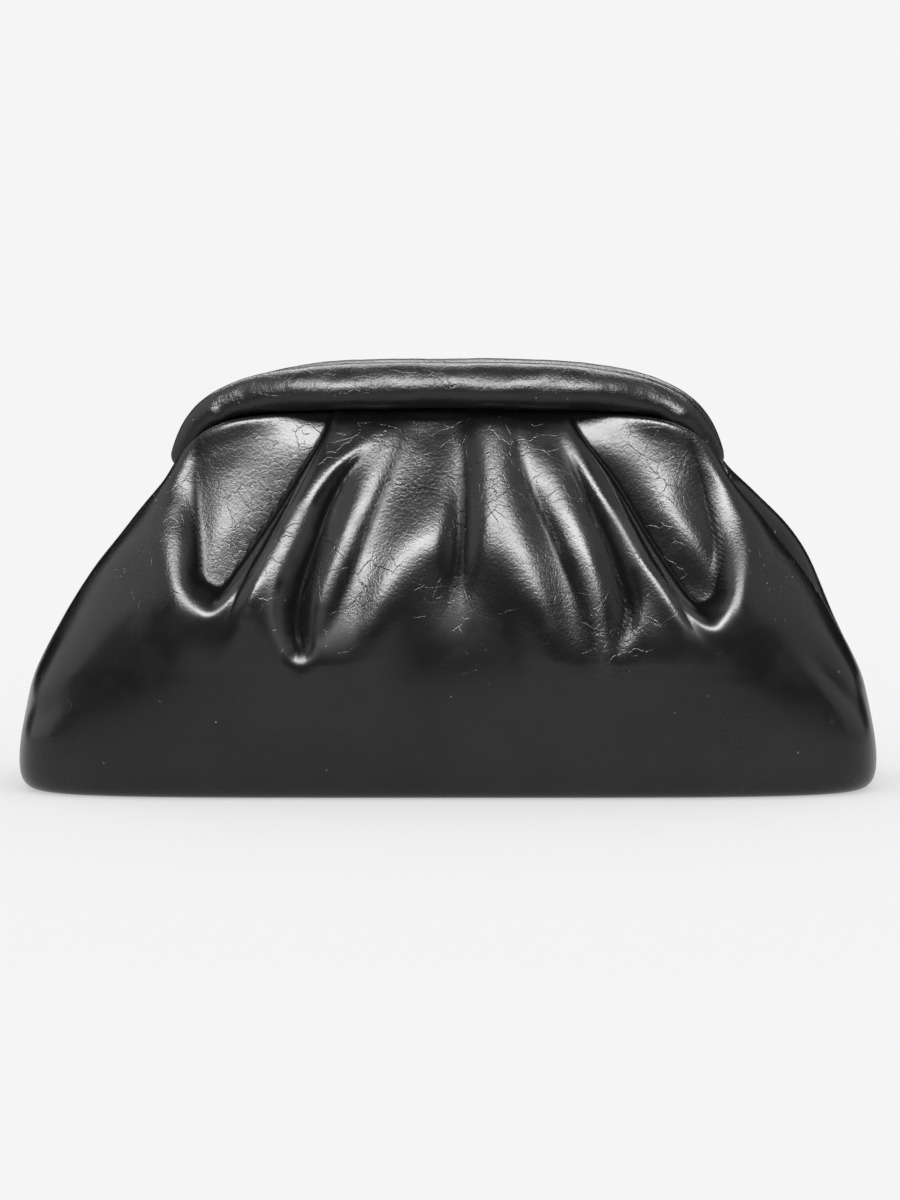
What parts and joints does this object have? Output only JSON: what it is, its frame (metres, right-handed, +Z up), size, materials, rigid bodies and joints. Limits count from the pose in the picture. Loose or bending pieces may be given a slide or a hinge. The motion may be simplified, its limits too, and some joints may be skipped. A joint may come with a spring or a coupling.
{
  "type": "clutch bag",
  "caption": "Soft gathered leather clutch bag, closed, with a wide flat base, pleats falling from an arched leather-covered mouth frame and an open hollow inside.",
  "frame": {"origin": "centre of the base, on the surface the bag rests on", "axes": "+X to the right as seen from the front, along the mouth; +Y to the back; +Z up"},
  "size_m": [0.34, 0.1232, 0.1683],
  "materials": {
    "leather": "glossy waxed black leather with fine creases",
    "hinge_metal": "plain satin steel, hidden"
  },
  "bodies": {
    "root": {"body_front": "leather", "body_back": "leather", "base": "leather", "frame_front": "leather", "frame_back": "leather", "hinge_left": "hinge_metal", "hinge_right": "hinge_metal"}
  },
  "joints": []
}
